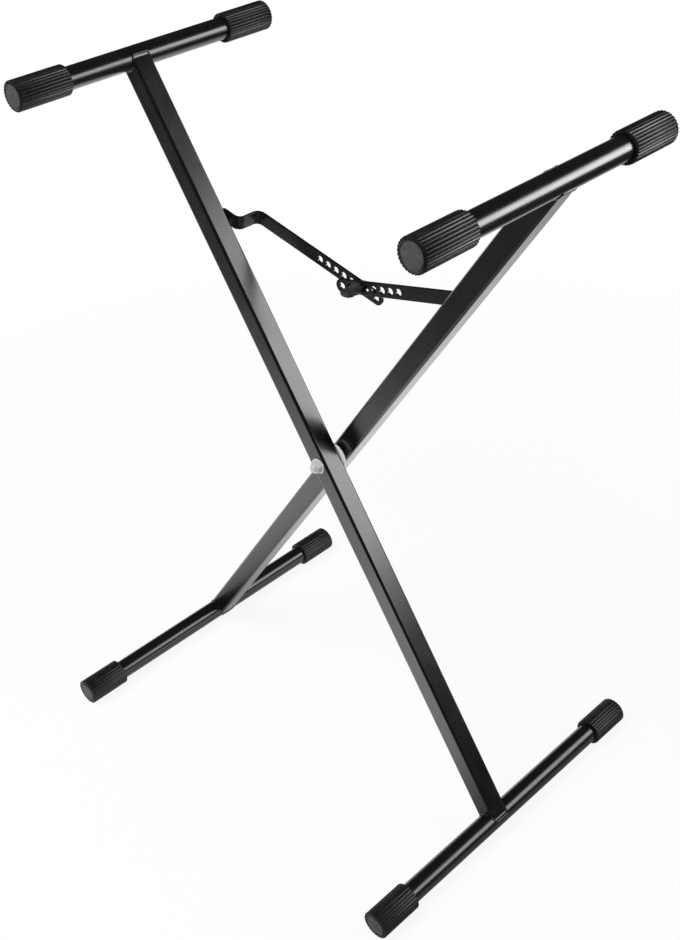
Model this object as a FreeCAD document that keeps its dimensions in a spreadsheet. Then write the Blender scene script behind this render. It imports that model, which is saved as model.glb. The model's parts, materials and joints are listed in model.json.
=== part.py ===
import FreeCAD, Part
import math
import os
import re
import Sketcher
from FreeCAD import Placement, Rotation, Vector

# Folding X stand for a keyboard, in millimetres. +X is to the right and +Y to the back as seen
# from the front, +Z is up, and the origin is on the floor under the main pivot.
# Two square-tube legs cross on one bolt. Each carries a round arm across its top and a longer
# round foot across its bottom, with ribbed rubber caps on all eight tube ends. Two perforated
# flat straps, one hung from each leg, are clamped to each other by a thumb screw and hold the
# opening.

SIZES = {
    # legs
    "fold_angle": 33.82,         # lean of each leg from upright, degrees
    "upper_length": 494.0,       # main pivot to arm axis, along the leg
    "lower_length": 481.0,       # main pivot to foot axis, along the leg
    "leg_side": 25.0,
    "leg_corner": 3.0,
    "leg_wall": 1.5,
    "leg_gap": 7.0,              # between the facing sides of the two legs
    "cope_land": 4.0,            # how far the saddle-cut leg ends stop short of the tube axis
    # arms and feet
    "tube_outer": 25.0,
    "tube_wall": 1.5,
    "arm_length": 350.6,         # over the caps
    "foot_length": 456.0,        # over the caps
    # rubber caps
    "arm_cap_outer": 33.2,       # across the flat ribs
    "foot_cap_outer": 33.8,
    "arm_cap_length": 65.0,
    "foot_cap_length": 56.0,
    "cap_floor": 4.0,            # rubber beyond the tube's end
    "cap_rim": 2.0,              # chamfer at the closed end, where the ribs begin
    "cap_disc": 25.0,            # sunk disc in the closed end
    "cap_disc_depth": 0.6,
    "arm_cap_ribs": 28,
    "foot_cap_ribs": 24,
    "rib_height": 0.9,
    "rib_gap": 1.6,              # between the tops of two ribs
    # main pivot
    "bolt_shank": 8.0,
    "bush_outer": 12.0,
    "pivot_play": 0.1,           # bore over shank, on the diameter
    "face_play": 0.1,            # between sliding faces
    "washer_outer": 19.0,
    "washer_thick": 1.6,
    "hex_flats": 13.0,
    "bolt_head": 5.3,
    "nut_hex": 5.5,
    "nut_crown": 5.6,            # radius of the blind end
    "nut_rise": 5.1,             # its height over the hexagon
    "bolt_in_nut": 6.0,
    "nylon_outer": 33.8,
    "nylon_thick": 2.4,
    "spacer_outer": 22.0,
    # brace straps
    "strap_width": 16.0,
    "strap_thick": 3.0,
    "strap_root": 300.0,         # main pivot to strap rivet, along each leg
    "strap_hole": 8.0,
    "strap_pitch": 12.2,
    "strap_holes": 8,
    "strap_tip": 9.0,            # last hole to the strap's end
    "end_land": 0.04,            # flat left between the two rounds of a strap's end
    "clamp_hole": 6,             # the screw stands in the sixth hole of both straps
    "long_first": 123.6,         # rivet to first hole
    "short_first": 97.4,
    "joggle_start": 14.0,        # rivet to the first bend
    "joggle_rise": 30.4,         # step from the leg gap to behind the rear leg
    "joggle_bend": 8.3,          # bend radius at mid thickness
    "strap_play": 0.2,           # rear leg to short strap
    # rivets
    "rivet_shank": 6.0,
    "rivet_head": 11.0,
    "rivet_rise": 1.9,
    "rivet_flare": 9.0,
    "rivet_spacer": 12.0,
    # thumb screw and its nut
    "screw_shank": 7.9,
    "screw_collar": 15.0,
    "collar_thick": 2.6,
    "wing_neck": 10.0,
    "wing_disc": 20.0,
    "wing_thick": 3.2,
    "wing_reach": 24.6,          # strap face to the wing's end
    "wing_tilt": 30.0,           # degrees, top of the wing leans to the left
    "clamp_flats": 10.0,
    "clamp_hex": 4.6,
    "clamp_crown": 4.3,
    "clamp_rise": 3.9,
    "clamp_bore": 6.0,
}

doc = FreeCAD.newDocument("KeyboardStand")
sheet = doc.addObject("Spreadsheet::Sheet", "Sizes")
for row, (alias, value) in enumerate(SIZES.items(), start=1):
    sheet.set(f"A{row}", alias)
    sheet.set(f"B{row}", str(value))
    sheet.setAlias(f"B{row}", alias)
doc.recompute()

ALIAS = re.compile(r"\b(" + "|".join(SIZES) + r")\b")
bodies = []


def bound(formula):
    """Formula in the sheet's words, as an expression that the document can follow."""
    return ALIAS.sub(r"Sizes.\1", str(formula))


def size(formula):
    return float(sheet.evalExpression(str(formula)))


def bind(thing, **formulas):
    for name, formula in formulas.items():
        thing.setExpression(name, bound(formula))


def new_body(label):
    body = doc.addObject("PartDesign::Body", label)
    body.Label = label
    bodies.append(body)
    return body


def sketch_on(body, name, role, lift="0", turn="0"):
    """Empty sketch on one of the body's own planes, lifted off it and turned in it."""
    plane = next(item for item in body.Origin.OriginFeatures if item.Role == role)
    sketch = body.newObject("Sketcher::SketchObject", name)
    sketch.AttachmentSupport = [(plane, "")]
    sketch.MapMode = "FlatFace"
    seat(sketch, lift, turn)
    return sketch


def seat(thing, lift, turn):
    thing.AttachmentOffset = Placement(Vector(0, 0, size(lift)), Rotation(size(turn), 0, 0))
    thing.setExpression(".AttachmentOffset.Base.z", bound(lift))
    thing.setExpression(".AttachmentOffset.Rotation.Angle", bound(turn))


def pin_point(sketch, item, end, across, along):
    """Fix one sketch point at two formulas from the sketch's origin."""
    for kind, formula in (("DistanceX", across), ("DistanceY", along)):
        rule = Sketcher.Constraint(kind, -1, 1, item, end, size(formula))
        index = sketch.addConstraint(rule)
        sketch.setExpression(f"Constraints[{index}]", bound(formula))


def set_radius(sketch, item, radius):
    index = sketch.addConstraint(Sketcher.Constraint("Radius", item, size(radius)))
    sketch.setExpression(f"Constraints[{index}]", bound(radius))


def draw_circle(sketch, radius, across="0", along="0"):
    centre = Vector(size(across), size(along), 0)
    item = sketch.addGeometry(Part.Circle(centre, Vector(0, 0, 1), size(radius)))
    pin_point(sketch, item, 3, across, along)
    set_radius(sketch, item, radius)


def draw_outline(sketch, corners, arcs=None):
    """Closed outline through corners given as formulas. arcs maps the number of a side to
    the formulas of its centre and radius, and to its sense, +1 for anticlockwise."""
    arcs = arcs or {}
    points = [Vector(size(across), size(along), 0) for across, along in corners]
    ends = []
    for number, start in enumerate(points):
        finish = points[(number + 1) % len(points)]
        if number not in arcs:
            sketch.addGeometry(Part.LineSegment(start, finish))
            ends.append((1, 2))
            continue
        across, along, radius, sense = arcs[number]
        centre = Vector(size(across), size(along), 0)
        first, last = (start, finish) if sense > 0 else (finish, start)
        angles = [math.atan2(spot.y - centre.y, spot.x - centre.x) for spot in (first, last)]
        circle = Part.Circle(centre, Vector(0, 0, 1), size(radius))
        sketch.addGeometry(Part.ArcOfCircle(circle, *angles))
        ends.append((1, 2) if sense > 0 else (2, 1))
    for number, (start_end, finish_end) in enumerate(ends):
        follower = (number + 1) % len(ends)
        rule = Sketcher.Constraint("Coincident", number, finish_end, follower, ends[follower][0])
        sketch.addConstraint(rule)
        pin_point(sketch, number, start_end, *corners[number])
    for number, (across, along, radius, sense) in arcs.items():
        set_radius(sketch, number, radius)


def add_pad(body, name, sketch, length, both_ways=False):
    pad = body.newObject("PartDesign::Pad", name)
    pad.Profile = sketch
    pad.Midplane = both_ways
    bind(pad, Length=length)
    doc.recompute()
    return pad


def add_turned(body, name, corners, arcs=None):
    """Solid of revolution about the body's Z axis, from an outline in radius and height."""
    sketch = sketch_on(body, name + "_profile", "XZ_Plane")
    draw_outline(sketch, corners, arcs)
    turned = body.newObject("PartDesign::Revolution", name)
    turned.Profile = sketch
    turned.ReferenceAxis = (sketch, ["V_Axis"])
    turned.Angle = 360
    doc.recompute()
    return turned


def add_prism(body, name, sides, flats, height, lift="0", turn="0", kind="Additive"):
    """Regular prism by its distance across flats, added to the body or taken from it."""
    prism = body.newObject(f"PartDesign::{kind}Prism", name)
    plane = next(item for item in body.Origin.OriginFeatures if item.Role == "XY_Plane")
    prism.AttachmentSupport = [(plane, "")]
    prism.MapMode = "FlatFace"
    seat(prism, lift, turn)
    prism.Polygon = int(size(sides))
    bind(prism, Circumradius=f"({flats}) / 2 / cos(180 / ({sides}))", Height=height)
    doc.recompute()
    return prism


def add_cut(body, name, sketch, length=None, reverse=False, both_ways=False):
    """Pocket that must take material away. Without a length it goes right through."""
    before = body.Shape.Volume
    pocket = body.newObject("PartDesign::Pocket", name)
    pocket.Profile = sketch
    pocket.Midplane = both_ways
    pocket.Reversed = reverse
    if length is None:
        pocket.Type = "ThroughAll"
    else:
        bind(pocket, Length=length)
    doc.recompute()
    if body.Shape.Volume > before - 0.01:
        raise RuntimeError(f"{body.Label}: {name} cuts nothing")
    return pocket


def edges_along(shape, direction, keep=lambda edge: True):
    """Names of the straight edges that run in a direction."""
    names = []
    for number, edge in enumerate(shape.Edges, start=1):
        if edge.Curve.TypeId != "Part::GeomLine":
            continue
        if edge.Curve.Direction.cross(direction).Length < 1e-6 and keep(edge):
            names.append(f"Edge{number}")
    return names


def round_edges(body, name, base, names, radius):
    fillet = body.newObject("PartDesign::Fillet", name)
    fillet.Base = (base, names)
    bind(fillet, Radius=radius)
    doc.recompute()
    return fillet


def turned_about_y(degrees, spot):
    return Placement(Vector(*spot), Rotation(Vector(0, 1, 0), degrees))


def facing(direction, spot):
    """Placement that sends the body's Z axis along -1 front or +1 back."""
    return Placement(Vector(*spot), Rotation(Vector(1, 0, 0), -90 * direction))


# ---- where things stand ---------------------------------------------------------------

LEAN = math.radians(size("fold_angle"))
FOOT_Z = size("foot_cap_outer / 2")
PIVOT_Z = FOOT_Z + size("lower_length") * math.cos(LEAN)
ARM_Z = PIVOT_Z + size("upper_length") * math.cos(LEAN)
ARM_X = size("upper_length") * math.sin(LEAN)
FOOT_X = size("lower_length") * math.sin(LEAN)
LEG_Y = size("(leg_side + leg_gap) / 2")
OUTER_Y = size("leg_side + leg_gap / 2")
INNER_Y = size("leg_gap / 2")

ROOT_X = size("strap_root") * math.sin(LEAN)
ROOT_Z = PIVOT_Z + size("strap_root") * math.cos(LEAN)
LONG_REACH = size("long_first + (clamp_hole - 1) * strap_pitch")
SHORT_REACH = size("short_first + (clamp_hole - 1) * strap_pitch")
SPAN = 2 * ROOT_X


def dip_angle(own, other):
    """How far a strap drops from level when both reach the clamp from their rivets."""
    return math.degrees(math.acos((SPAN**2 + own**2 - other**2) / (2 * SPAN * own)))


LONG_DIP = dip_angle(LONG_REACH, SHORT_REACH)
SHORT_DIP = dip_angle(SHORT_REACH, LONG_REACH)
CLAMP_X = -ROOT_X + LONG_REACH * math.cos(math.radians(LONG_DIP))
CLAMP_Z = ROOT_Z - LONG_REACH * math.sin(math.radians(LONG_DIP))
SHORT_Y = OUTER_Y + size("strap_play")
LONG_Y = SHORT_Y + size("strap_thick + face_play")
LONG_ROOT_Y = LONG_Y - size("joggle_rise")


# ---- legs, arms and feet --------------------------------------------------------------


def make_leg(label, lean, spot):
    """Square tube, saddle-cut at both ends round the arm and the foot that it is welded to.
    The bush goes through both walls and the strap's rivet through the back one."""
    body = new_body(label)
    section = sketch_on(body, "section", "XY_Plane", "cope_land")
    half = "leg_side / 2"
    corners = [("-" + half, "-" + half), (half, "-" + half), (half, half), ("-" + half, half)]
    draw_outline(section, corners)
    pad = add_pad(body, "bar", section, "lower_length + upper_length - 2 * cope_land")
    upright = edges_along(pad.Shape, Vector(0, 0, 1))
    rounded = round_edges(body, "corners", pad, upright, "leg_corner")
    shell = body.newObject("PartDesign::Thickness", "tube_wall_shell")
    ends = [
        f"Face{number}"
        for number, face in enumerate(rounded.Shape.Faces, start=1)
        if face.Surface.TypeId == "Part::GeomPlane" and abs(face.normalAt(0, 0).z) > 0.9
    ]
    shell.Base = (rounded, ends)
    shell.Reversed = True
    bind(shell, Value="leg_wall")
    doc.recompute()
    for name, along in (("foot_saddle", "0"), ("arm_saddle", "lower_length + upper_length")):
        saddle = sketch_on(body, name + "_circle", "XZ_Plane")
        draw_circle(saddle, "tube_outer / 2", "0", along)
        add_cut(body, name, saddle, both_ways=True)
    bush_hole = sketch_on(body, "bush_circle", "XZ_Plane")
    draw_circle(bush_hole, "bush_outer / 2", "0", "lower_length")
    add_cut(body, "bush_hole", bush_hole, both_ways=True)
    rivet_hole = sketch_on(body, "rivet_circle", "XZ_Plane")
    draw_circle(rivet_hole, "rivet_shank / 2", "0", "lower_length + strap_root")
    add_cut(body, "rivet_hole", rivet_hole)
    body.Placement = turned_about_y(lean, spot)


def make_cross_tube(label, length, spot):
    body = new_body(label)
    section = sketch_on(body, "section", "XZ_Plane")
    draw_circle(section, "tube_outer / 2")
    draw_circle(section, "tube_outer / 2 - tube_wall")
    add_pad(body, "tube", section, f"{length} - 2 * cap_floor", both_ways=True)
    body.Placement = Placement(Vector(*spot), Rotation())


def make_cap(label, kind, inward, spot):
    """Rubber cap for an arm or a foot: a core with a chamfered rim round a sunk end disc,
    then tapered ribs side by side out to the mouth, then the socket for the tube. Core, disc
    and socket have one side to each rib, which keeps the eight caps light."""
    body = new_body(label)
    outer, length, ribs = f"{kind}_cap_outer", f"{kind}_cap_length", f"{kind}_cap_ribs"
    half_pitch = f"180 / {ribs}"
    root = f"({outer} / 2 - rib_height)"
    half_root = f"{root} * tan({half_pitch})"
    core = add_prism(body, "core", ribs, f"2 * {root}", length, "0", half_pitch)
    rim = [
        f"Edge{number}"
        for number, edge in enumerate(core.Shape.Edges, start=1)
        if edge.BoundBox.ZMax < 0.01
    ]
    chamfer = body.newObject("PartDesign::Chamfer", "rim_chamfer")
    chamfer.Base = (core, rim)
    bind(chamfer, Size="cap_rim")
    doc.recompute()
    add_prism(body, "sunk_disc", ribs, "cap_disc", "cap_disc_depth", "0", half_pitch,
              "Subtractive")
    rib = sketch_on(body, "rib_section", "XY_Plane", "cap_rim")
    draw_outline(rib, [
        (root, f"-{half_root}"),
        (f"{outer} / 2", f"rib_gap / 2 - {half_root}"),
        (f"{outer} / 2", f"{half_root} - rib_gap / 2"),
        (root, half_root),
    ])
    pad = add_pad(body, "rib", rib, f"{length} - cap_rim")
    ring_of_ribs = body.newObject("PartDesign::PolarPattern", "ring_of_ribs")
    ring_of_ribs.Originals = [pad]
    ring_of_ribs.Axis = (rib, ["N_Axis"])
    ring_of_ribs.Angle = 360
    bind(ring_of_ribs, Occurrences=ribs)
    body.Tip = ring_of_ribs
    doc.recompute()
    add_prism(body, "socket", ribs, "tube_outer", f"{length} - cap_floor", "cap_floor",
              half_pitch, "Subtractive")
    body.Placement = facing(inward, spot)


make_leg("front_leg_tube", -size("fold_angle"), (FOOT_X, -LEG_Y, FOOT_Z))
make_leg("rear_leg_tube", size("fold_angle"), (-FOOT_X, LEG_Y, FOOT_Z))

CROSS_TUBES = (
    ("left_arm", "arm", -ARM_X, ARM_Z),
    ("right_arm", "arm", ARM_X, ARM_Z),
    ("left_foot", "foot", -FOOT_X, FOOT_Z),
    ("right_foot", "foot", FOOT_X, FOOT_Z),
)
for name, kind, across, height in CROSS_TUBES:
    make_cross_tube(f"{name}_tube", f"{kind}_length", (across, 0, height))
    reach = size(f"{kind}_length / 2")
    for place, side in (("front", -1), ("rear", 1)):
        spot = (across, side * reach, height)
        make_cap(f"{name}_{place}_cap", kind, -side, spot)


# ---- main pivot -----------------------------------------------------------------------


def make_ring(label, outer, bore, thick, front_y):
    body = new_body(label)
    section = sketch_on(body, "section", "XY_Plane")
    draw_circle(section, f"({outer}) / 2")
    draw_circle(section, f"({bore}) / 2")
    add_pad(body, "ring", section, thick)
    body.Placement = facing(1, (0, front_y, PIVOT_Z))
    return body


def make_cap_nut(label, flats, hex_height, crown, rise, bore, bore_depth, outward, spot):
    """Hexagon with a blind end, upright for half its rise and then drawn in to half its
    width. The body's Z axis points out of the blind end."""
    body = new_body(label)
    add_prism(body, "hexagon", "6", flats, hex_height)
    add_turned(body, "blind_end", [
        ("0", f"{hex_height} / 2"),
        (crown, f"{hex_height} / 2"),
        (crown, f"{hex_height} + {rise} / 2"),
        (f"{crown} / 2", f"{hex_height} + {rise}"),
        ("0", f"{hex_height} + {rise}"),
    ])
    thread = sketch_on(body, "thread_circle", "XY_Plane")
    draw_circle(thread, f"({bore}) / 2")
    add_cut(body, "thread_bore", thread, bore_depth, reverse=True)
    body.Placement = facing(outward, spot)


make_ring("front_leg_bush", "bush_outer", "bolt_shank", "leg_side", -OUTER_Y)
make_ring("rear_leg_bush", "bush_outer", "bolt_shank + pivot_play", "leg_side", INNER_Y)
make_ring("white_pivot_washer", "nylon_outer", "bolt_shank", "nylon_thick", -INNER_Y)
make_ring("pivot_spacer", "spacer_outer", "bolt_shank", "leg_gap - nylon_thick - face_play",
          -INNER_Y + size("nylon_thick"))
NUT_Y = -OUTER_Y - size("washer_thick")
HEAD_Y = OUTER_Y + size("face_play + washer_thick")
make_ring("front_pivot_washer", "washer_outer", "bolt_shank", "washer_thick", NUT_Y)
make_ring("rear_pivot_washer", "washer_outer", "bolt_shank", "washer_thick",
          OUTER_Y + size("face_play"))
make_cap_nut("pivot_cap_nut", "hex_flats", "nut_hex", "nut_crown", "nut_rise", "bolt_shank",
             "bolt_in_nut", -1, (0, NUT_Y, PIVOT_Z))


def make_pivot_bolt():
    """Hexagon bolt, put in from the back."""
    body = new_body("pivot_bolt")
    add_prism(body, "head", "6", "hex_flats", "bolt_head")
    shank = sketch_on(body, "shank_circle", "XY_Plane")
    draw_circle(shank, "bolt_shank / 2")
    grip = "2 * leg_side + leg_gap + 2 * washer_thick + face_play"
    pad = add_pad(body, "shank", shank, f"{grip} + bolt_in_nut")
    pad.Reversed = True
    doc.recompute()
    body.Placement = facing(1, (0, HEAD_Y, PIVOT_Z))


make_pivot_bolt()


# ---- brace straps ---------------------------------------------------------------------

# from the front leg's back face to the long strap's front face, at its rivet
LONG_STAND_OFF = "(leg_side + leg_gap + strap_play + strap_thick + face_play - joggle_rise)"


def drill_strap(body, first):
    """Rivet hole at the strap's root and the row of adjusting holes."""
    rivet = sketch_on(body, "rivet_circle", "XZ_Plane")
    draw_circle(rivet, "(rivet_shank + pivot_play) / 2")
    add_cut(body, "rivet_hole", rivet, both_ways=True)
    hole = sketch_on(body, "hole_circle", "XZ_Plane")
    draw_circle(hole, "strap_hole / 2", first)
    cut = add_cut(body, "hole", hole, both_ways=True)
    row_of_holes = body.newObject("PartDesign::LinearPattern", "row_of_holes")
    row_of_holes.Originals = [cut]
    row_of_holes.Direction = (hole, ["H_Axis"])
    bind(row_of_holes, Length="(strap_holes - 1) * strap_pitch", Occurrences="strap_holes")
    body.Tip = row_of_holes
    doc.recompute()


def round_strap_ends(body, base):
    """Half-round ends: only the four short corner edges across the thickness."""
    ends = (base.Shape.BoundBox.XMin, base.Shape.BoundBox.XMax)

    def at_an_end(edge):
        return min(abs(edge.CenterOfMass.x - end) for end in ends) < 0.01

    corners = edges_along(base.Shape, Vector(0, 1, 0), at_an_end)
    round_edges(body, "round_ends", base, corners, "(strap_width - end_land) / 2")


def make_long_strap():
    """Hung in the gap between the legs, it steps back through two square bends to pass
    behind the rear leg's strap. The outline is its edge, seen from above."""
    body = new_body("long_strap")
    inner = "(joggle_bend - strap_thick / 2)"
    outer = "(joggle_bend + strap_thick / 2)"
    riser = "(joggle_start + joggle_bend)"
    second = "(joggle_start + 2 * joggle_bend)"
    tip = "(long_first + (strap_holes - 1) * strap_pitch + strap_tip)"
    edge = sketch_on(body, "edge_outline", "XY_Plane")
    draw_outline(edge, [
        ("-strap_width / 2", "0"),
        ("joggle_start", "0"),
        (f"{riser} + strap_thick / 2", outer),
        (f"{riser} + strap_thick / 2", f"joggle_rise - {inner}"),
        (second, "joggle_rise"),
        (tip, "joggle_rise"),
        (tip, "joggle_rise + strap_thick"),
        (second, "joggle_rise + strap_thick"),
        (f"{riser} - strap_thick / 2", f"joggle_rise - {inner}"),
        (f"{riser} - strap_thick / 2", outer),
        ("joggle_start", "strap_thick"),
        ("-strap_width / 2", "strap_thick"),
    ], {
        1: ("joggle_start", outer, outer, 1),
        3: (second, f"joggle_rise - {inner}", inner, -1),
        7: (second, f"joggle_rise - {inner}", outer, 1),
        9: ("joggle_start", outer, inner, -1),
    })
    pad = add_pad(body, "strip", edge, "strap_width", both_ways=True)
    round_strap_ends(body, pad)
    drill_strap(body, "long_first")
    body.Placement = turned_about_y(LONG_DIP, (-ROOT_X, LONG_ROOT_Y, ROOT_Z))


def make_short_strap():
    body = new_body("short_strap")
    tip = "(short_first + (strap_holes - 1) * strap_pitch + strap_tip)"
    edge = sketch_on(body, "edge_outline", "XY_Plane")
    draw_outline(edge, [
        ("-strap_width / 2", "0"),
        (tip, "0"),
        (tip, "strap_thick"),
        ("-strap_width / 2", "strap_thick"),
    ])
    pad = add_pad(body, "strip", edge, "strap_width", both_ways=True)
    round_strap_ends(body, pad)
    drill_strap(body, "short_first")
    body.Placement = turned_about_y(180 - SHORT_DIP, (ROOT_X, SHORT_Y, ROOT_Z))


def make_strap_rivet(label, stand_off, spot):
    """Blind rivet: flare inside the leg's wall, shank, and a head on the strap. The body's
    Z axis points back and its origin is on the outer face of the wall."""
    body = new_body(label)
    grip = f"({stand_off} + strap_thick + face_play)"
    add_turned(body, "rivet", [
        ("0", "-leg_wall - rivet_rise"),
        ("rivet_flare / 2", "-leg_wall - rivet_rise"),
        ("rivet_flare / 2", "-leg_wall"),
        ("rivet_shank / 2", "-leg_wall"),
        ("rivet_shank / 2", grip),
        ("rivet_head / 2", grip),
        ("rivet_head / 2", f"{grip} + rivet_rise"),
        ("0", f"{grip} + rivet_rise"),
    ])
    body.Placement = facing(1, spot)


def make_rivet_spacer():
    """Tube on the front leg's rivet that holds the long strap off the leg."""
    body = new_body("long_strap_spacer")
    section = sketch_on(body, "section", "XY_Plane")
    draw_circle(section, "rivet_spacer / 2")
    draw_circle(section, "rivet_shank / 2")
    add_pad(body, "tube", section, f"{LONG_STAND_OFF} - face_play")
    body.Placement = facing(1, (-ROOT_X, -INNER_Y, ROOT_Z))


make_long_strap()
make_rivet_spacer()
make_strap_rivet("long_strap_rivet", LONG_STAND_OFF, (-ROOT_X, -INNER_Y, ROOT_Z))
make_short_strap()
make_strap_rivet("short_strap_rivet", "strap_play", (ROOT_X, OUTER_Y, ROOT_Z))


# ---- thumb screw ----------------------------------------------------------------------


def make_thumb_screw():
    """Spade-headed screw. Its shank fills the short strap's hole, its collar bears on the
    strap's front, and the flat wing stands out towards the front."""
    body = new_body("thumb_screw")
    add_turned(body, "stem", [
        ("0", "-collar_thick"),
        ("screw_collar / 2", "-collar_thick"),
        ("screw_collar / 2", "-face_play"),
        ("screw_shank / 2", "-face_play"),
        ("screw_shank / 2", "strap_thick - face_play"),
        ("0", "strap_thick - face_play"),
    ])
    neck = sketch_on(body, "neck_outline", "XZ_Plane")
    centre = "(wing_reach - wing_disc / 2)"
    half = "wing_neck / 2"
    draw_outline(neck, [
        ("-" + half, "-" + centre),
        (half, "-" + centre),
        (half, "-collar_thick / 2"),
        ("-" + half, "-collar_thick / 2"),
    ])
    add_pad(body, "neck", neck, "wing_thick", both_ways=True)
    disc = sketch_on(body, "disc_circle", "XZ_Plane")
    draw_circle(disc, "wing_disc / 2", "0", "-" + centre)
    add_pad(body, "wing", disc, "wing_thick", both_ways=True)
    upright = Rotation(Vector(0, 1, 0), size("90 - wing_tilt"))
    body.Placement = Placement(Vector(CLAMP_X, SHORT_Y, CLAMP_Z),
                               upright * Rotation(Vector(1, 0, 0), -90))


make_thumb_screw()
make_cap_nut("clamp_cap_nut", "clamp_flats", "clamp_hex", "clamp_crown", "clamp_rise",
             "clamp_bore", "clamp_hex", 1, (CLAMP_X, LONG_Y + size("strap_thick"), CLAMP_Z))


# ---- checks and files -----------------------------------------------------------------

doc.recompute()
for item in doc.Objects:
    if {"Invalid", "Error"} & set(item.State):
        raise RuntimeError(f"{item.Name}: {item.State}")
os.makedirs("parts", exist_ok=True)
for body in bodies:
    if body.Shape.isNull() or not body.Shape.isValid() or len(body.Shape.Solids) != 1:
        raise RuntimeError(f"{body.Label}: bad shape")
    body.Shape.exportStep(f"parts/{body.Label}.step")
print(f"{len(bodies)} pieces, pivot at {PIVOT_Z:.1f}, straps drop {LONG_DIP:.2f} and {SHORT_DIP:.2f}")
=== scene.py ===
import json
import math

import bmesh
import bpy
from mathutils import Matrix, Vector


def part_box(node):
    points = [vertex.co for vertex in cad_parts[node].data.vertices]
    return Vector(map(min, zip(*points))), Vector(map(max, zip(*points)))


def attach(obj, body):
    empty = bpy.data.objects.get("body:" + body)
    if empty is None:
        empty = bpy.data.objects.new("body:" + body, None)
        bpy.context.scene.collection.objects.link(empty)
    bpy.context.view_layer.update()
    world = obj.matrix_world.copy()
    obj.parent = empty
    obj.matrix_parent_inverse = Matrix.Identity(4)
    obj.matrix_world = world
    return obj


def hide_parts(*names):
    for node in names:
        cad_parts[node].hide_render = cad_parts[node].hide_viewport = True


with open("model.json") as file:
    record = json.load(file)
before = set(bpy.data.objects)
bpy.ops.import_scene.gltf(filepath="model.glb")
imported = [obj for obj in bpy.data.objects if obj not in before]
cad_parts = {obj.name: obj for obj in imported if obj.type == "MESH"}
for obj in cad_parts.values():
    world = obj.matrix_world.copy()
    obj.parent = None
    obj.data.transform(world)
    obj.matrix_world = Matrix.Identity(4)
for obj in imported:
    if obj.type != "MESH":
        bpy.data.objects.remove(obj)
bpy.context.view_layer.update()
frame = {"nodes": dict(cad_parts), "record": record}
print("frame loaded,", len(frame["nodes"]), "CAD nodes")

mm = 0.001

# camera at the photograph's viewing angle
shot = {
    "aim": (-0.00664, 0.0, 0.38587),
    "azimuth": 46.205,  # degrees to the right of straight ahead
    "elevation": 35.788,
    "roll": -2.392,
    "distance": 1.5644,
    "frameHeight": 940,  # pixels
    "focalLength": 1332.59,  # pixels
    "opticalCentre": (-6.99, 4.4),  # pixels right of and below the picture's middle
    "sensor": 36,  # mm, along the frame's height
    "farthest": 60,  # metres that the camera sees
}


def makeCamera():
    azimuth, elevation = math.radians(shot["azimuth"]), math.radians(shot["elevation"])
    back = Vector((
        math.sin(azimuth) * math.cos(elevation),
        -math.cos(azimuth) * math.cos(elevation),
        math.sin(elevation),
    ))
    right = (-back).cross(Vector((0, 0, 1))).normalized()
    turned = Matrix.Rotation(math.radians(shot["roll"]), 3, back) @ right
    up = back.cross(turned)
    cameraData = bpy.data.cameras.new("shotCamera")
    cameraData.sensor_width = shot["sensor"]
    cameraData.lens = shot["sensor"] * shot["focalLength"] / shot["frameHeight"]
    cameraData.shift_x = -shot["opticalCentre"][0] / shot["frameHeight"]
    cameraData.shift_y = shot["opticalCentre"][1] / shot["frameHeight"]
    cameraData.clip_end = shot["farthest"]
    camera = bpy.data.objects.new("shotCamera", cameraData)
    bpy.context.scene.collection.objects.link(camera)
    turn = Matrix((turned, up, back)).transposed().to_4x4()
    place = Matrix.Translation(Vector(shot["aim"]) + back * shot["distance"])
    camera.matrix_world = place @ turn
    bpy.context.scene.camera = camera


makeCamera()
print("camera placed")

# ways of making materials
noiseRange = (0.3, 0.7)  # nearly all of a noise's values lie between these
edgeCosines = (0.98, 0.8)  # of the turn between a face and its rounded edge, from flat to edge


def fillSocket(tree, socket, value):
    # another node's output is linked, a number or colour is written in
    if isinstance(value, bpy.types.NodeSocket):
        tree.links.new(value, socket)
    else:
        socket.default_value = value


def fillSockets(tree, node, values):
    for name, value in values.items():
        fillSocket(tree, node.inputs[name], value)


def addNode(tree, kind, settings=None, **values):
    node = tree.nodes.new("ShaderNode" + kind)
    for name, value in (settings or {}).items():
        setattr(node, name, value)
    fillSockets(tree, node, values)
    return node


def startMaterial(name):
    material = bpy.data.materials.new(name)
    material.use_nodes = True
    tree = material.node_tree
    place = addNode(tree, "TexCoord").outputs["Object"]
    return material, tree, tree.nodes["Principled BSDF"], place


def grey(level, tint=(1.0, 1.0, 1.0)):
    return (level * tint[0], level * tint[1], level * tint[2], 1.0)


def noiseAt(tree, place, pattern):
    size, detail = pattern  # width of one lump in millimetres, and the layers of finer lumps in it
    noise = addNode(tree, "TexNoise", Vector=place, Scale=1000 / size, Detail=detail)
    return noise.outputs["Fac"]


def scratchesAt(tree, place, pattern):
    perMetre, detail = pattern  # scratches in a metre along X, Y and Z
    stretched = addNode(tree, "Mapping", Vector=place, Scale=perMetre)
    noise = addNode(tree, "TexNoise", Vector=stretched.outputs["Vector"], Scale=1.0, Detail=detail)
    return noise.outputs["Fac"]


def spread(tree, value, window, reach=(0.0, 1.0)):
    # value runs over window and the result over reach, held at its ends
    node = addNode(tree, "MapRange", Value=value)
    fillSockets(tree, node, dict(zip(("From Min", "From Max", "To Min", "To Max"), window + reach)))
    return node.outputs["Result"]


def blendColours(tree, share, first, second):
    node = addNode(tree, "Mix", {"data_type": "RGBA"})
    for index, value in ((0, share), (6, first), (7, second)):  # the sockets for colours
        fillSocket(tree, node.inputs[index], value)
    return node.outputs[2]


def calculate(tree, operation, first, second=0.0):
    node = addNode(tree, "Math", {"operation": operation})
    fillSocket(tree, node.inputs[0], first)
    fillSocket(tree, node.inputs[1], second)
    return node.outputs[0]


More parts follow.
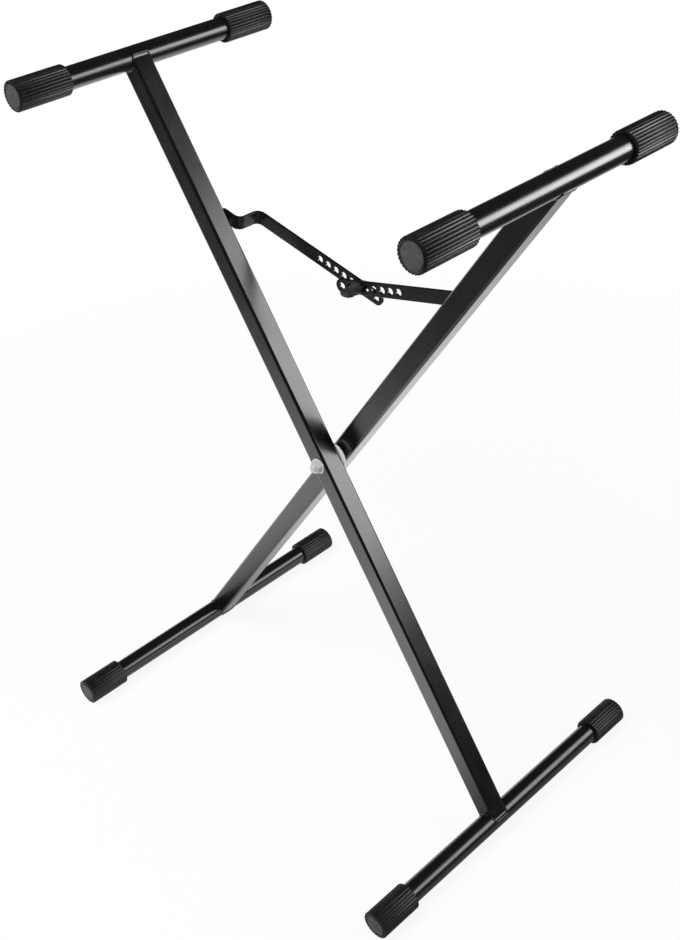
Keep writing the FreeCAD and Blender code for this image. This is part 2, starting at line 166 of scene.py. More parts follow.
def scaled(tree, value, factor):
    return calculate(tree, "MULTIPLY", value, factor)


def bumped(tree, height, depth, strength=1.0):
    node = addNode(tree, "Bump", Strength=strength, Distance=depth * mm, Height=height)
    return node.outputs["Normal"]


def wornEdges(tree, reach):
    # 1 on edges narrower than reach millimetres, 0 on flats
    rounded = addNode(tree, "Bevel", {"samples": 6}, Radius=reach * mm)
    flat = addNode(tree, "NewGeometry")
    product = addNode(tree, "VectorMath", {"operation": "DOT_PRODUCT"})
    fillSocket(tree, product.inputs[0], rounded.outputs["Normal"])
    fillSocket(tree, product.inputs[1], flat.outputs["Normal"])
    return spread(tree, product.outputs["Value"], edgeCosines)


# in the finishes, clouds, grain and the like are (width of a lump in mm, detail),
# and a Window is the range of that noise over which its effect grows
paint = {
    "colour": 0.006,
    "dustColour": 0.02,
    "wearColour": 0.09,
    "roughness": (0.21, 0.30),
    "wornRoughness": 0.2,  # added where the paint is worn
    "clouds": (38, 5),
    "grain": (0.45, 2),
    "dustWindow": (0.5, 0.75),
    "dust": 0.35,
    "specks": (0.9, 1),
    "speckWindow": (0.72, 0.78),
    "speckDust": 0.15,
    "patches": (6, 4),
    "patchWindow": (0.52, 0.68),
    "edge": 0.5,  # mm
    "peel": (1.4, 2),  # dimples of the powder coat
    "peelDepth": 0.0008,  # mm
    "peelGrain": 0.25,
    "coat": 0.9,
    "coatRoughness": 0.2,
}


def makePaint():
    material, tree, shader, place = startMaterial("satinBlackPowderCoat")
    clouds = noiseAt(tree, place, paint["clouds"])
    grain = noiseAt(tree, place, paint["grain"])
    peel = noiseAt(tree, place, paint["peel"])
    specks = spread(tree, noiseAt(tree, place, paint["specks"]), paint["speckWindow"])
    cloudDust = spread(tree, clouds, paint["dustWindow"], (0.0, paint["dust"]))
    dust = calculate(
        tree, "MAXIMUM", scaled(tree, cloudDust, grain), scaled(tree, specks, paint["speckDust"])
    )
    patches = spread(tree, noiseAt(tree, place, paint["patches"]), paint["patchWindow"])
    wear = scaled(tree, wornEdges(tree, paint["edge"]), patches)
    clean, dusty = grey(paint["colour"], (1, 1, 1.02)), grey(paint["dustColour"])
    colour = blendColours(tree, dust, clean, dusty)
    colour = blendColours(tree, wear, colour, grey(paint["wearColour"], (1, 0.98, 0.95)))
    rough = spread(tree, clouds, noiseRange, paint["roughness"])
    rough = calculate(tree, "ADD", rough, scaled(tree, wear, paint["wornRoughness"]))
    height = calculate(tree, "ADD", peel, scaled(tree, grain, paint["peelGrain"]))
    normal = bumped(tree, height, paint["peelDepth"])
    fillSockets(tree, shader, {
        "Base Color": colour,
        "Roughness": rough,
        "IOR": 1.6,
        "Normal": normal,
        "Coat Weight": paint["coat"],
        "Coat Roughness": paint["coatRoughness"],
        "Coat IOR": 1.5,
        "Coat Normal": normal,
    })
    return material


rubber = {
    "colour": 0.009,
    "paleColour": 0.022,
    "discPaintedLightColour": 0.09,  # painted light: the caps' end discs are made lighter than the rubber, in place of the light and sheen on them
    "roughness": (0.3, 0.4),
    "discRoughness": 0.3,
    "clouds": (14, 5),
    "bloomWindow": (0.35, 0.75),
    "bloom": 0.6,  # most of the pale colour, on flats
    "edge": 0.5,  # mm
    # rubbed edges paler: partly real wear, partly a painted highlight on the caps' rims
    "edgeBloomAndHighlight": 0.7,
    "marks": (5, 5),
    "marksReach": (0.6, 1.0),  # share of the discs' painted lighter colour
    "grain": (0.35, 3),
    "grainDepth": 0.02,  # mm
}


def makeRubber():
    material, tree, shader, place = startMaterial("ribbedBlackRubber")
    clouds = noiseAt(tree, place, rubber["clouds"])
    grain = noiseAt(tree, place, rubber["grain"])
    disc = addNode(tree, "Attribute", {"attribute_name": "endDisc"}).outputs["Fac"]
    bloom = scaled(tree, spread(tree, clouds, rubber["bloomWindow"]), rubber["bloom"])
    # paler rubbed edges, which also stand as a painted highlight on the rims
    rubbedAndHighlit = scaled(tree, wornEdges(tree, rubber["edge"]), rubber["edgeBloomAndHighlight"])
    pale = calculate(tree, "MAXIMUM", bloom, rubbedAndHighlit)
    black = grey(rubber["colour"], (0.97, 1, 0.99))
    colour = blendColours(tree, pale, black, grey(rubber["paleColour"], (0.98, 1, 0.99)))
    marks = spread(tree, noiseAt(tree, place, rubber["marks"]), noiseRange, rubber["marksReach"])
    # painted light: the end discs lighter than the rubber, mottled by the marks
    colour = blendColours(
        tree, scaled(tree, disc, marks), colour, grey(rubber["discPaintedLightColour"], (0.97, 1, 0.99))
    )
    rough = spread(tree, clouds, noiseRange, rubber["roughness"])
    discRough = addNode(
        tree, "Mix", {"data_type": "FLOAT"}, Factor=disc, A=rough, B=rubber["discRoughness"]
    )
    fillSockets(tree, shader, {
        "Base Color": colour,
        "Roughness": discRough.outputs["Result"],
        "IOR": 1.55,
        "Normal": bumped(tree, grain, rubber["grainDepth"]),
    })
    return material


zinc = {
    "colour": 0.86,
    "stainColour": 0.66,
    "metallic": 0.35,
    "roughness": (0.24, 0.42),
    "scratchRoughness": 0.06,
    "clouds": (5, 4),
    "stainWindow": (0.35, 0.75),
    "scratches": ((3000, 400, 1400), 3),
    "scratchDepth": 0.01,  # mm
}


def makeZinc():
    material, tree, shader, place = startMaterial("brightZincPlate")
    clouds = noiseAt(tree, place, zinc["clouds"])
    scratches = scratchesAt(tree, place, zinc["scratches"])
    stains = spread(tree, clouds, zinc["stainWindow"])
    clean = grey(zinc["colour"], (0.98, 1, 1.02))
    stained = grey(zinc["stainColour"], (1, 0.97, 0.9))
    rough = spread(tree, clouds, noiseRange, zinc["roughness"])
    scratched = scaled(tree, scratches, zinc["scratchRoughness"])
    fillSockets(tree, shader, {
        "Base Color": blendColours(tree, stains, clean, stained),
        "Metallic": zinc["metallic"],
        "Roughness": calculate(tree, "ADD", rough, scratched),
        "Normal": bumped(tree, scratches, zinc["scratchDepth"], 0.5),
    })
    return material


nylon = {
    "colour": 0.9,
    "shadeColour": 0.8,
    "roughness": (0.38, 0.5),
    "clouds": (7, 4),
    "shadeWindow": (0.4, 0.8),
    "shade": 0.6,  # most of the shade colour
    "grain": (0.5, 2),
    "grainDepth": 0.02,  # mm
}


def makeNylon():
    material, tree, shader, place = startMaterial("whiteNylon")
    clouds = noiseAt(tree, place, nylon["clouds"])
    grain = noiseAt(tree, place, nylon["grain"])
    shade = spread(tree, clouds, nylon["shadeWindow"], (0.0, nylon["shade"]))
    white = grey(nylon["colour"], (1, 1, 0.97))
    shaded = grey(nylon["shadeColour"], (1, 0.98, 0.92))
    fillSockets(tree, shader, {
        "Base Color": blendColours(tree, shade, white, shaded),
        "Roughness": spread(tree, clouds, noiseRange, nylon["roughness"]),
        "Normal": bumped(tree, grain, nylon["grainDepth"]),
    })
    return material


brushed = {
    "colour": 0.45,
    "dullShare": 0.75,  # the duller patches against the colour
    "roughness": (0.28, 0.42),
    "clouds": (6, 4),
    "lines": ((4000, 200, 4000), 2),
    "lineDepth": 0.01,  # mm
}


def makeBrushedSteel():
    material, tree, shader, place = startMaterial("brushedSteel")
    clouds = noiseAt(tree, place, brushed["clouds"])
    lines = scratchesAt(tree, place, brushed["lines"])
    bright, dull = grey(brushed["colour"]), grey(brushed["colour"] * brushed["dullShare"])
    fillSockets(tree, shader, {
        "Base Color": blendColours(tree, clouds, bright, dull),
        "Metallic": 1.0,
        "Roughness": spread(tree, lines, noiseRange, brushed["roughness"]),
        "Normal": bumped(tree, lines, brushed["lineDepth"]),
    })
    return material


oxide = {
    "colour": 0.022,
    "paleColour": 0.05,
    "wearColour": 0.22,
    "wear": 0.6,  # most of the wear colour, on edges
    "roughness": (0.33, 0.45),
    "clouds": (5, 5),
    "patches": (2.5, 3),
    "patchWindow": (0.45, 0.65),
    "edge": 0.4,  # mm
    "grain": (0.4, 2),
    "grainDepth": 0.02,  # mm
}


def makeBlackSteel():
    material, tree, shader, place = startMaterial("blackOxideSteel")
    clouds = noiseAt(tree, place, oxide["clouds"])
    grain = noiseAt(tree, place, oxide["grain"])
    patches = spread(tree, noiseAt(tree, place, oxide["patches"]), oxide["patchWindow"])
    wear = scaled(tree, wornEdges(tree, oxide["edge"]), patches)
    colour = blendColours(
        tree, spread(tree, clouds, noiseRange), grey(oxide["colour"]), grey(oxide["paleColour"])
    )
    worn = scaled(tree, wear, oxide["wear"])
    colour = blendColours(tree, worn, colour, grey(oxide["wearColour"]))
    fillSockets(tree, shader, {
        "Base Color": colour,
        "Roughness": spread(tree, clouds, noiseRange, oxide["roughness"]),
        "IOR": 1.8,
        "Normal": bumped(tree, grain, oxide["grainDepth"]),
    })
    return material


finishes = {
    "black_powder_coat": makePaint(),
    "black_rubber": makeRubber(),
    "zinc_plate": makeZinc(),
    "white_nylon": makeNylon(),
    "plain_steel": makeBrushedSteel(),
    "black_steel": makeBlackSteel(),
}
for node in frame["nodes"].values():
    slotName = node.data.materials[0].name.split(".")[0]
    node.data.materials[0] = finishes[slotName]
print("materials made")

# ways of making pieces
mergeWithin = 0.002 * mm


def finishPiece(bm, name, slotName, body, replaced=(), sharpAngle=35, evenFaces=False):
    bmesh.ops.remove_doubles(bm, verts=bm.verts, dist=mergeWithin)
    bmesh.ops.recalc_face_normals(bm, faces=bm.faces)
    mesh = bpy.data.meshes.new(name)
    bm.to_mesh(mesh)
    bm.free()
    for face in mesh.polygons:
        face.use_smooth = True
    mesh.set_sharp_from_angle(angle=math.radians(sharpAngle))
    mesh.materials.append(finishes[slotName])
    piece = bpy.data.objects.new(name, mesh)
    bpy.context.scene.collection.objects.link(piece)
    if evenFaces:  # broken edges don't bend the shading of the flats beside them
        piece.modifiers.new("evenFaces", "WEIGHTED_NORMAL").keep_sharp = True
    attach(piece, body)
    if replaced:
        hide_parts(*replaced)


def spinProfile(bm, points, steps):
    # points are (radius, height) in millimetres, turned about Z
    corners = [bm.verts.new((radius * mm, 0, height * mm)) for radius, height in points]
    lines = [bm.edges.new(pair) for pair in zip(corners, corners[1:])]
    bmesh.ops.spin(
        bm, geom=corners + lines, cent=(0, 0, 0), axis=(0, 0, 1),
        angle=2 * math.pi, steps=steps, use_merge=True,
    )


def bevelEdges(bm, edges, width, segments):
    # width in millimetres
    bmesh.ops.bevel(
        bm, geom=edges, offset=width * mm, offset_type="OFFSET", affect="EDGES",
        segments=segments, profile=0.5, material=-1,
    )


def domeProfile(radius, base, rise, steps):
    # a quarter of an ellipse from the rim in to the top, without the rim's own point
    angles = [math.radians(90 / steps * step) for step in range(1, steps + 1)]
    return [(radius * math.cos(angle), base + rise * math.sin(angle)) for angle in angles]


def placeAlong(bm, spot, direction):
    # Z of the drawn shape turns to direction, and its origin goes to spot on the stand
    turn = Vector((0, 0, 1)).rotation_difference(Vector(direction)).to_matrix().to_4x4()
    bmesh.ops.transform(bm, matrix=Matrix.Translation(Vector(spot)) @ turn, verts=bm.verts)


bodyOf = {}
for bodyName, members in frame["record"]["behaviour"]["bodies"].items():
    for member in members:
        bodyOf[member] = bodyName

# rubber caps: a domed disc in a raised ring, a chamfered rim, and rounded ribs out to the mouth
caps = {  # mm
    "arm": {"radius": 16.6, "length": 65.0, "ribs": 28, "ribHeight": 0.95},
    "foot": {"radius": 16.9, "length": 56.0, "ribs": 24, "ribHeight": 0.7},
}
capShape = {
    "end": (  # radius and depth in from the closed end, mm
        (0.0, 0.1), (4.0, 0.14), (8.0, 0.25), (11.0, 0.42), (12.0, 0.52),  # domed disc
        (12.2, 0.9), (12.45, 0.9), (12.7, 0.4),  # groove round the disc
        (13.0, 0.06), (13.3, 0.0), (13.6, 0.12), (13.9, 0.5),  # thin ring
    ),
    "face": ((-0.9, 1.15), (-0.2, 1.15)),  # flat beside the ribs: radius from the core, and depth
    "rim": 1.0,  # depth at which the ribs begin
    # rounding of the ribs' two ends: radius from their tops, and depth from the rim or the mouth
    "rimEdge": ((-0.35, 0.0), (-0.12, 0.15), (0.0, 0.45)),
    "mouthEdge": ((0.0, -0.5), (-0.12, -0.15), (-0.4, 0.0)),
    "clear": 0.3,  # the ribs keep this far from the core
    "disc": 12.9,  # radius of what has the disc's finish: its roughness and its painted lighter colour
    "bore": 12.5,
    "boreEdge": 0.3,
    "floor": 4.0,
    "step": 0.9,  # ribs stand this much above the core, mm
    "stepsPerRib": 10,
    "groove": (  # share of the ribs' height across one pitch
        1.0, 0.72, 0.34, 0.12, 0.03, 0.0, 0.03, 0.12, 0.34, 0.72,
    ),
}


def makeCap(name, kind):
    size = caps[kind]
    shape = capShape
    outer = size["radius"]
    core = outer - shape["step"]
    long = size["length"]
    rim, bore, boreEdge = shape["rim"], shape["bore"], shape["boreEdge"]
    profile = [
        *shape["end"],
        *((core + out, deep) for out, deep in shape["face"]), (core, rim),
        *((outer + out, rim + deep) for out, deep in shape["rimEdge"]),
        *((outer + out, long + deep) for out, deep in shape["mouthEdge"]),
        (core - shape["clear"], long), (bore + boreEdge, long), (bore, long - boreEdge),
        (bore, shape["floor"]), (0.0, shape["floor"]),
    ]
    bm = bmesh.new()
    onDisc = bm.verts.layers.float.new("endDisc")
    steps = size["ribs"] * shape["stepsPerRib"]
    spinProfile(bm, profile, steps)
    for vert in bm.verts:
        radius = math.hypot(vert.co.x, vert.co.y) / mm
        if radius > core + shape["clear"]:
            angle = math.atan2(vert.co.y, vert.co.x)
            number = round(angle / (2 * math.pi) * steps) % shape["stepsPerRib"]
            cut = size["ribHeight"] * shape["groove"][number]
            vert.co.x *= (radius - cut) / radius
            vert.co.y *= (radius - cut) / radius
        elif radius < shape["disc"] and vert.co.z < mm:
            vert[onDisc] = 1.0
    # half a rib round, so that a rib's middle stands straight up and down
    turn = Matrix.Rotation(math.pi / size["ribs"], 3, "Z")
    bmesh.ops.rotate(bm, verts=bm.verts, cent=(0, 0, 0), matrix=turn)
    low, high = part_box(name)
    middle = (low + high) / 2
    inward, closedEnd = (1, low.y) if middle.y < 0 else (-1, high.y)
    placeAlong(bm, (middle.x, closedEnd, middle.z), (0, inward, 0))
    finishPiece(bm, name + "_ribbed", "black_rubber", bodyOf[name], [name], sharpAngle=60)


for tubeName in ("left_arm", "right_arm", "left_foot", "right_foot"):
    for place in ("front", "rear"):
        makeCap(f"{tubeName}_{place}_cap", tubeName.split("_")[1])
print("rubber caps made")

# weld beads round the saddle-cut ends of the two legs
weld = {
    "legSide": 25.0,  # mm
    "legCorner": 3.0,
    "cornerSegments": 6,
    "sideCuts": 17,
    "tubeRadius": 12.5,
    "bead": 1.25,  # radius, mm
    "ripple": 0.16,  # share of the bead's radius
    "rippleLength": 2.3,
    "lump": 0.12,  # share of the bead's radius, in slow waves
    "lumpTurn": 0.37,  # radians to a millimetre
    "lumpShift": 40,  # sets the two sides' lumps apart, radians to a metre
}


def legOutline():
    # corners of the leg's rounded square section, flat at the origin
    bm = bmesh.new()
    half = weld["legSide"] / 2 * mm
    bmesh.ops.create_grid(bm, x_segments=1, y_segments=1, size=half)
    bmesh.ops.bevel(
        bm, geom=bm.verts[:], offset=weld["legCorner"] * mm, offset_type="OFFSET",
        affect="VERTICES", segments=weld["cornerSegments"], profile=0.5, material=-1,
    )
    longEdges = [edge for edge in bm.edges if edge.calc_length() > half]
    bmesh.ops.subdivide_edges(bm, edges=longEdges, cuts=weld["sideCuts"])
    bm.faces.ensure_lookup_table()
    outline = [loop.vert.co.copy() for loop in bm.faces[0].loops]
    bm.free()
    return outline


def makeWeld(name, legNode, tubeNode, body):
    low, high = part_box(tubeNode)
    joint = (low + high) / 2
    legLow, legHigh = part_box(legNode)
    legMiddle = (legLow + legHigh) / 2
    joint.y = legMiddle.y
    inward = (legMiddle - joint).normalized()
    across = Vector((0, 1, 0)).cross(inward)
    outline = legOutline()
    curve = bpy.data.curves.new(name + "_path", "CURVE")
    curve.dimensions = "3D"
    curve.bevel_depth = weld["bead"] * mm
    curve.bevel_resolution = 3
    spline = curve.splines.new("POLY")
    spline.points.add(len(outline) - 1)
    spline.use_cyclic_u = True
    travelled = 0.0
    radius = weld["tubeRadius"] * mm
    previous = None
    for point, corner in zip(spline.points, outline):
        rise = math.sqrt(max(radius**2 - corner.x**2, 0.0))
        spot = joint + across * corner.x + Vector((0, corner.y, 0)) + inward * rise
        if previous is not None:
            travelled += (spot - previous).length / mm
        previous = spot
        point.co = (*spot, 1.0)
        wave = math.sin(travelled / weld["rippleLength"] * 2 * math.pi)
        lump = math.sin(travelled * weld["lumpTurn"] + joint.x * weld["lumpShift"])
        point.radius = 1.0 + weld["ripple"] * wave + weld["lump"] * lump
    holder = bpy.data.objects.new(name + "_path", curve)
    bpy.context.scene.collection.objects.link(holder)
    bpy.context.view_layer.update()
    bead = bpy.data.meshes.new_from_object(holder)
    bpy.data.objects.remove(holder)
    bm = bmesh.new()
    bm.from_mesh(bead)
    bpy.data.meshes.remove(bead)
    finishPiece(bm, name, "black_powder_coat", body, sharpAngle=60)


makeWeld("left_arm_weld", "front_leg_tube", "left_arm_tube", "front_leg")
makeWeld("right_foot_weld", "front_leg_tube", "right_foot_tube", "front_leg")
makeWeld("right_arm_weld", "rear_leg_tube", "right_arm_tube", "rear_leg")
makeWeld("left_foot_weld", "rear_leg_tube", "left_foot_tube", "rear_leg")
print("welds made")

# straps, washers and the like: the CAD shape with its sharp edges broken
softEdges = {  # piece, finish, and width of the broken edges in mm
    "long_strap": ("long_strap_bar", "black_powder_coat", 0.45),
    "short_strap": ("short_strap_bar", "black_powder_coat", 0.45),
    "white_pivot_washer": ("white_pivot_disc", "white_nylon", 0.4),
    "pivot_spacer": ("pivot_spacer_ring", "black_steel", 0.3),
    "front_pivot_washer": ("front_pivot_washer_ring", "zinc_plate", 0.25),
    "rear_pivot_washer": ("rear_pivot_washer_ring", "zinc_plate", 0.25),
    "pivot_bolt": ("pivot_bolt_hexagon", "zinc_plate", 0.45),
    "long_strap_spacer": ("long_strap_spacer_tube", "black_steel", 0.3),
}
flatAngle = 0.5  # degrees, faces closer than this are one flat
brokenAngle = 40  # degrees, edges sharper than this are broken


def breakEdges(nodeName):
    pieceName, slotName, width = softEdges[nodeName]
    bm = bmesh.new()
    bm.from_mesh(frame["nodes"][nodeName].data)
    bmesh.ops.remove_doubles(bm, verts=bm.verts, dist=mergeWithin)
    bmesh.ops.dissolve_limit(
        bm, angle_limit=math.radians(flatAngle), verts=bm.verts, edges=bm.edges
    )
    sharp = [
        edge for edge in bm.edges
        if len(edge.link_faces) == 2 and edge.calc_face_angle(0) > math.radians(brokenAngle)
    ]
    bevelEdges(bm, sharp, width, segments=2)
    finishPiece(
        bm, pieceName, slotName, bodyOf[nodeName], [nodeName], sharpAngle=45, evenFaces=True
    )


for nodeName in softEdges:
    breakEdges(nodeName)
print("straps and washers made")

# crowned nuts on the pivot bolt and on the thumb screw
crownedNuts = {  # mm, and which way along Y the crown points
    "pivot_cap_nut": {"flats": 13.0, "hexHeight": 5.5, "dome": 5.6, "top": 10.6, "facing": -1},
    "clamp_cap_nut": {"flats": 10.0, "hexHeight": 4.6, "dome": 4.3, "top": 8.5, "facing": 1},
}
nutShape = {
    "edge": 0.45,  # mm
    "sunk": 0.6,  # the crown starts this far down in the hexagon
    "skirt": ((0.35, 0.0), (0.3, 0.7), (0.0, 1.0)),  # radius past the dome's, and height from there
    "domeSteps": 9,
    "steps": 48,  # round the crown
}


def makeCrownedNut(name):
    nut = crownedNuts[name]
    bm = bmesh.new()
    corner = nut["flats"] / 2 / math.cos(math.radians(30)) * mm
    made = bmesh.ops.create_cone(
        bm, cap_ends=True, segments=6, radius1=corner, radius2=corner, depth=nut["hexHeight"] * mm,
    )
    bmesh.ops.translate(bm, verts=made["verts"], vec=(0, 0, nut["hexHeight"] / 2 * mm))
    bevelEdges(bm, bm.edges[:], nutShape["edge"], segments=3)
    base = nut["hexHeight"] - nutShape["sunk"]
    profile = [(0.0, base)]
    profile += [(nut["dome"] + wider, base + above) for wider, above in nutShape["skirt"]]
    start = profile[-1][1]
    profile += domeProfile(nut["dome"], start, nut["top"] - start, nutShape["domeSteps"])
    spinProfile(bm, profile, nutShape["steps"])
    low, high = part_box(name)
    middle = (low + high) / 2
    seat = high.y if nut["facing"] < 0 else low.y
    placeAlong(bm, (middle.x, seat, middle.z), (0, nut["facing"], 0))
    finishPiece(
        bm, name + "_crowned", "zinc_plate", bodyOf[name], [name], sharpAngle=40, evenFaces=True
    )


for name in crownedNuts:
    makeCrownedNut(name)

# strap rivets with domed heads
rivets = {
    "shank": 3.0,  # radius, mm
    "tip": 0.3,  # rounding of the flared end
    "flare": 4.5,
    "head": 5.5,
    "edge": 0.2,
    "rise": 1.9,  # height of the head, and of the flare at the other end
    "domeSteps": 7,
    "steps": 40,  # round the rivet
}


def makeRivet(name):
    low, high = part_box(name)
    middle = (low + high) / 2
    head, edge, rise = rivets["head"], rivets["edge"], rivets["rise"]
    underHead = (high.y - low.y) / mm - rise
    profile = [
        (0.0, 0.0), (rivets["shank"], rivets["tip"]), (rivets["flare"], rise),
        (rivets["shank"], rise), (rivets["shank"], underHead),
        (head - edge, underHead), (head, underHead + edge),
    ]
    profile += domeProfile(head, underHead + edge, rise - edge, rivets["domeSteps"])
    bm = bmesh.new()
    spinProfile(bm, profile, rivets["steps"])
    placeAlong(bm, (middle.x, low.y, middle.z), (0, 1, 0))
    finishPiece(bm, name + "_domed", "black_steel", bodyOf[name], [name], sharpAngle=40)


makeRivet("long_strap_rivet")
makeRivet("short_strap_rivet")

# thumb screw: shank, collar and hub, and a flat spade that widens smoothly from the neck
thumbScrew = {
    "tilt": 84.0,  # degrees from upright
    "strapFace": 28.7,  # Y of the strap's face that the collar lies on, mm
    "stem": (  # radius and height above that face, mm
        (0.0, -2.9), (3.65, -2.9), (3.95, -2.6), (3.95, 0.1),  # shank
        (7.1, 0.1), (7.5, 0.5), (7.3, 2.4),  # collar
        (6.3, 6.8), (5.6, 7.8), (4.4, 8.4), (0.0, 8.7),  # tapered hub
    ),
    "root": 2.0,  # the spade starts here, inside the hub
    "neck": 6.6,  # half widths of the spade
    "disc": 8.5,
    "reach": 23.2,  # its far end
    "thick": 2.8,
    "edge": 0.9,
    "stemSteps": 48,
    "discSteps": 64,
}


def makeThumbScrew():
    size = thumbScrew
    low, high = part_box("clamp_cap_nut")
    clamp = (low + high) / 2
    bm = bmesh.new()
    spinProfile(bm, size["stem"], size["stemSteps"])
    stemVerts = set(bm.verts)
    centre = size["reach"] - size["disc"]
    made = bmesh.ops.create_circle(bm, cap_ends=True, segments=size["discSteps"], radius=1.0)
    circle = made["verts"]
    for vert in circle:
        along, wide = vert.co.x, vert.co.y
        if along < 0:  # behind the disc's middle the outline runs back to the neck in an S curve
            ease = along * along * (3 + 2 * along)
            width = size["disc"] * (1 - ease) + size["neck"] * ease
            along = centre + (centre - size["root"]) * along
            wide = math.copysign(width, wide) if abs(wide) > 1e-6 else 0.0
        else:
            along = centre + size["disc"] * along
            wide = size["disc"] * wide
        vert.co = Vector((along, wide, -size["thick"] / 2)) * mm
    raised = bmesh.ops.extrude_face_region(bm, geom=circle[0].link_faces[:])["geom"]
    top = [item for item in raised if isinstance(item, bmesh.types.BMVert)]
    bmesh.ops.translate(bm, verts=top, vec=(0, 0, size["thick"] * mm))
    spade = set(circle) | set(top)
    rim = [
        edge for edge in bm.edges
        if spade.issuperset(edge.verts) and abs(edge.verts[0].co.z - edge.verts[1].co.z) < 0.1 * mm
    ]
    bevelEdges(bm, rim, size["edge"], segments=4)
    for vert in bm.verts:
        if vert not in stemVerts:
            vert.co = vert.co.yzx  # along the stem, with its thickness across
    turn = Matrix.Rotation(math.radians(90 + size["tilt"]), 3, "Z")
    bmesh.ops.rotate(bm, verts=bm.verts, cent=(0, 0, 0), matrix=turn)
    placeAlong(bm, (clamp.x, size["strapFace"] * mm, clamp.z), (0, -1, 0))
    body = bodyOf["thumb_screw"]
    finishPiece(bm, "thumb_screw_spade", "black_steel", body, ["thumb_screw"], sharpAngle=40)


makeThumbScrew()
print("nuts, rivets and thumb screw made")

# floor, backdrop and lamps
stageLook = {
    "floorRadius": 14.0,
    "floorDrop": 0.3,  # mm below the feet
    "matteTone": 0.92,
    "mirroredShadeTone": 0.03,  # painted shade: the matte sheet made nearly black as the paint shows it, outside the painted pool of light
    # how much of what the camera sees is plain white: near the stand, and far from it
    "plainShare": (0.9, 1.0),
    "far": (0.5, 1.4),  # metres from the middle
    # the sheet as it shows in the paint is a painted pool of light round the stand, with painted
    # shadow beside the feet: metres over which it darkens, and how much of it is left
    "rightSide": ((0.08, 0.46), 0.05),
    "frontSide": ((-0.4, -0.68), 0.06),
    "backSide": ((0.55, 1.15), 0.4),
    # painted shadow on the sheet beside the feet, as the paint shows it
    "paintedShadowBesideFeet": ((0.03, 0.11), 0.38),
    "footPlace": 0.267,  # metres from the middle to a foot
    "footReach": (0.24, 0.3),  # metres from front to back over which the feet's painted shadow ends
    "ambient": 0.16,
    "mirroredAmbient": 0.02,
}


def rayKinds(tree):
    # 1 for what the camera sees, and 1 for what shows in metal, glass and paint
    path = addNode(tree, "LightPath").outputs
    mirrored = calculate(tree, "MAXIMUM", path["Is Glossy Ray"], path["Is Transmission Ray"])
    return path["Is Camera Ray"], mirrored


def sheetPaintedLight(tree, place):
    # how white the floor shows in the paint, by where it is: a painted pool of light round the
    # stand, and painted shadow beside the feet
    apart = addNode(tree, "SeparateXYZ", Vector=place).outputs
    share = 1.0
    for name, along in (("rightSide", "X"), ("frontSide", "Y"), ("backSide", "Y")):
        window, left = stageLook[name]
        share = scaled(tree, spread(tree, apart[along], window, (1.0, left)), share)
    outward = calculate(tree, "ABSOLUTE", apart["X"])
    aside = calculate(tree, "SUBTRACT", outward, stageLook["footPlace"])
    # painted shadow beside the feet
    window, left = stageLook["paintedShadowBesideFeet"]
    shade = spread(tree, calculate(tree, "ABSOLUTE", aside), window, (left, 1.0))
    past = spread(tree, calculate(tree, "ABSOLUTE", apart["Y"]), stageLook["footReach"])
    return scaled(tree, share, calculate(tree, "MAXIMUM", shade, past))


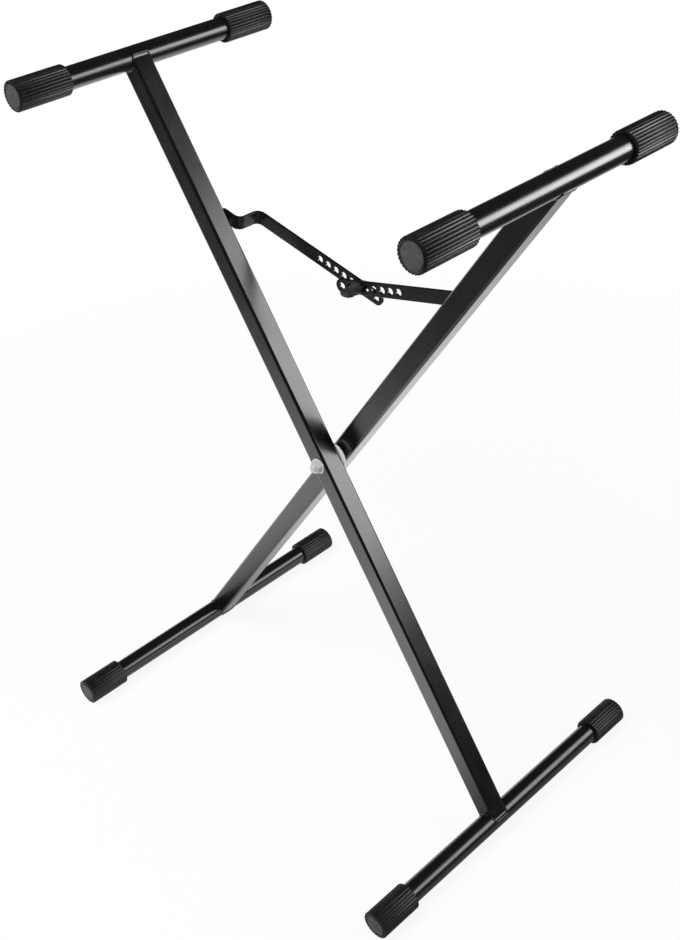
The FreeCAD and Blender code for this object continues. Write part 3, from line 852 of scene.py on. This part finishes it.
def makeFloor():
    bm = bmesh.new()
    bmesh.ops.create_circle(bm, cap_ends=True, segments=96, radius=stageLook["floorRadius"])
    bmesh.ops.translate(bm, verts=bm.verts, vec=(0, 0, -stageLook["floorDrop"] * mm))
    mesh = bpy.data.meshes.new("floor")
    bm.to_mesh(mesh)
    bm.free()
    floor = bpy.data.objects.new("floor", mesh)
    bpy.context.scene.collection.objects.link(floor)
    material, tree, shader, place = startMaterial("whiteSheet")
    tree.nodes.remove(shader)
    away = addNode(tree, "VectorMath", {"operation": "LENGTH"})
    fillSocket(tree, away.inputs[0], place)
    shown = spread(tree, away.outputs["Value"], stageLook["far"], stageLook["plainShare"])
    seen, mirrored = rayKinds(tree)
    # mirrored rays see a painted pool of light with painted shadow beside the feet
    white = calculate(
        tree, "ADD", scaled(tree, seen, shown), scaled(tree, mirrored, sheetPaintedLight(tree, place))
    )
    # painted shade: the matte sheet is nearly black to mirrored rays
    tone = blendColours(
        tree, mirrored, grey(stageLook["matteTone"]), grey(stageLook["mirroredShadeTone"])
    )
    matte = addNode(tree, "BsdfDiffuse", Color=tone)
    glow = addNode(tree, "Emission", Color=grey(1.0), Strength=1.0)
    mixed = addNode(tree, "MixShader")
    for index, value in enumerate((white, matte.outputs[0], glow.outputs[0])):
        fillSocket(tree, mixed.inputs[index], value)
    fillSocket(tree, tree.nodes["Material Output"].inputs["Surface"], mixed.outputs[0])
    mesh.materials.append(material)


def makeWorld():
    world = bpy.data.worlds.new("studio")
    bpy.context.scene.world = world
    world.use_nodes = True
    tree = world.node_tree
    seen, mirrored = rayKinds(tree)
    ambient = blendColours(
        tree, mirrored, grey(stageLook["ambient"]), grey(stageLook["mirroredAmbient"])
    )
    colour = blendColours(tree, seen, ambient, grey(1.0))
    fillSocket(tree, tree.nodes["Background"].inputs["Color"], colour)


lamps = {
    "softbox": {
        "place": (1.32, 1.1, 1.2),
        "aim": (0.0, 0.0, 0.6),
        "size": (1.35, 0.95),
        "power": 12.5,  # watts
        "spread": 180,  # degrees
        "mirrored": True,  # shows in the paint
    },
    "softboxBeam": {  # a narrower beam from the same side
        "place": (1.15, 1.22, 1.13),
        "aim": (0.28, 0.08, 0.83),
        "size": (1.0, 0.8),
        "power": 0.52,
        "spread": 40,
        "mirrored": True,
    },
    "fill": {
        "place": (-0.6, -1.3, 2.2),
        "aim": (0.0, 0.0, 0.4),
        "size": (1.8, 1.8),
        "power": 62.0,
        "spread": 180,
        "mirrored": False,
    },
}


def makeLamp(name):
    lamp = lamps[name]
    data = bpy.data.lights.new(name, "AREA")
    data.shape = "RECTANGLE"
    data.size, data.size_y = lamp["size"]
    data.energy = lamp["power"]
    data.spread = math.radians(lamp["spread"])
    thing = bpy.data.objects.new(name, data)
    bpy.context.scene.collection.objects.link(thing)
    thing.location = lamp["place"]
    thing.rotation_mode = "QUATERNION"
    thing.rotation_quaternion = (Vector(lamp["aim"]) - thing.location).to_track_quat("-Z", "Y")
    thing.visible_camera = False
    thing.visible_glossy = lamp["mirrored"]


makeFloor()
makeWorld()
for name in lamps:
    makeLamp(name)
bpy.context.scene.view_settings.view_transform = "Standard"
print("stage and lamps made")
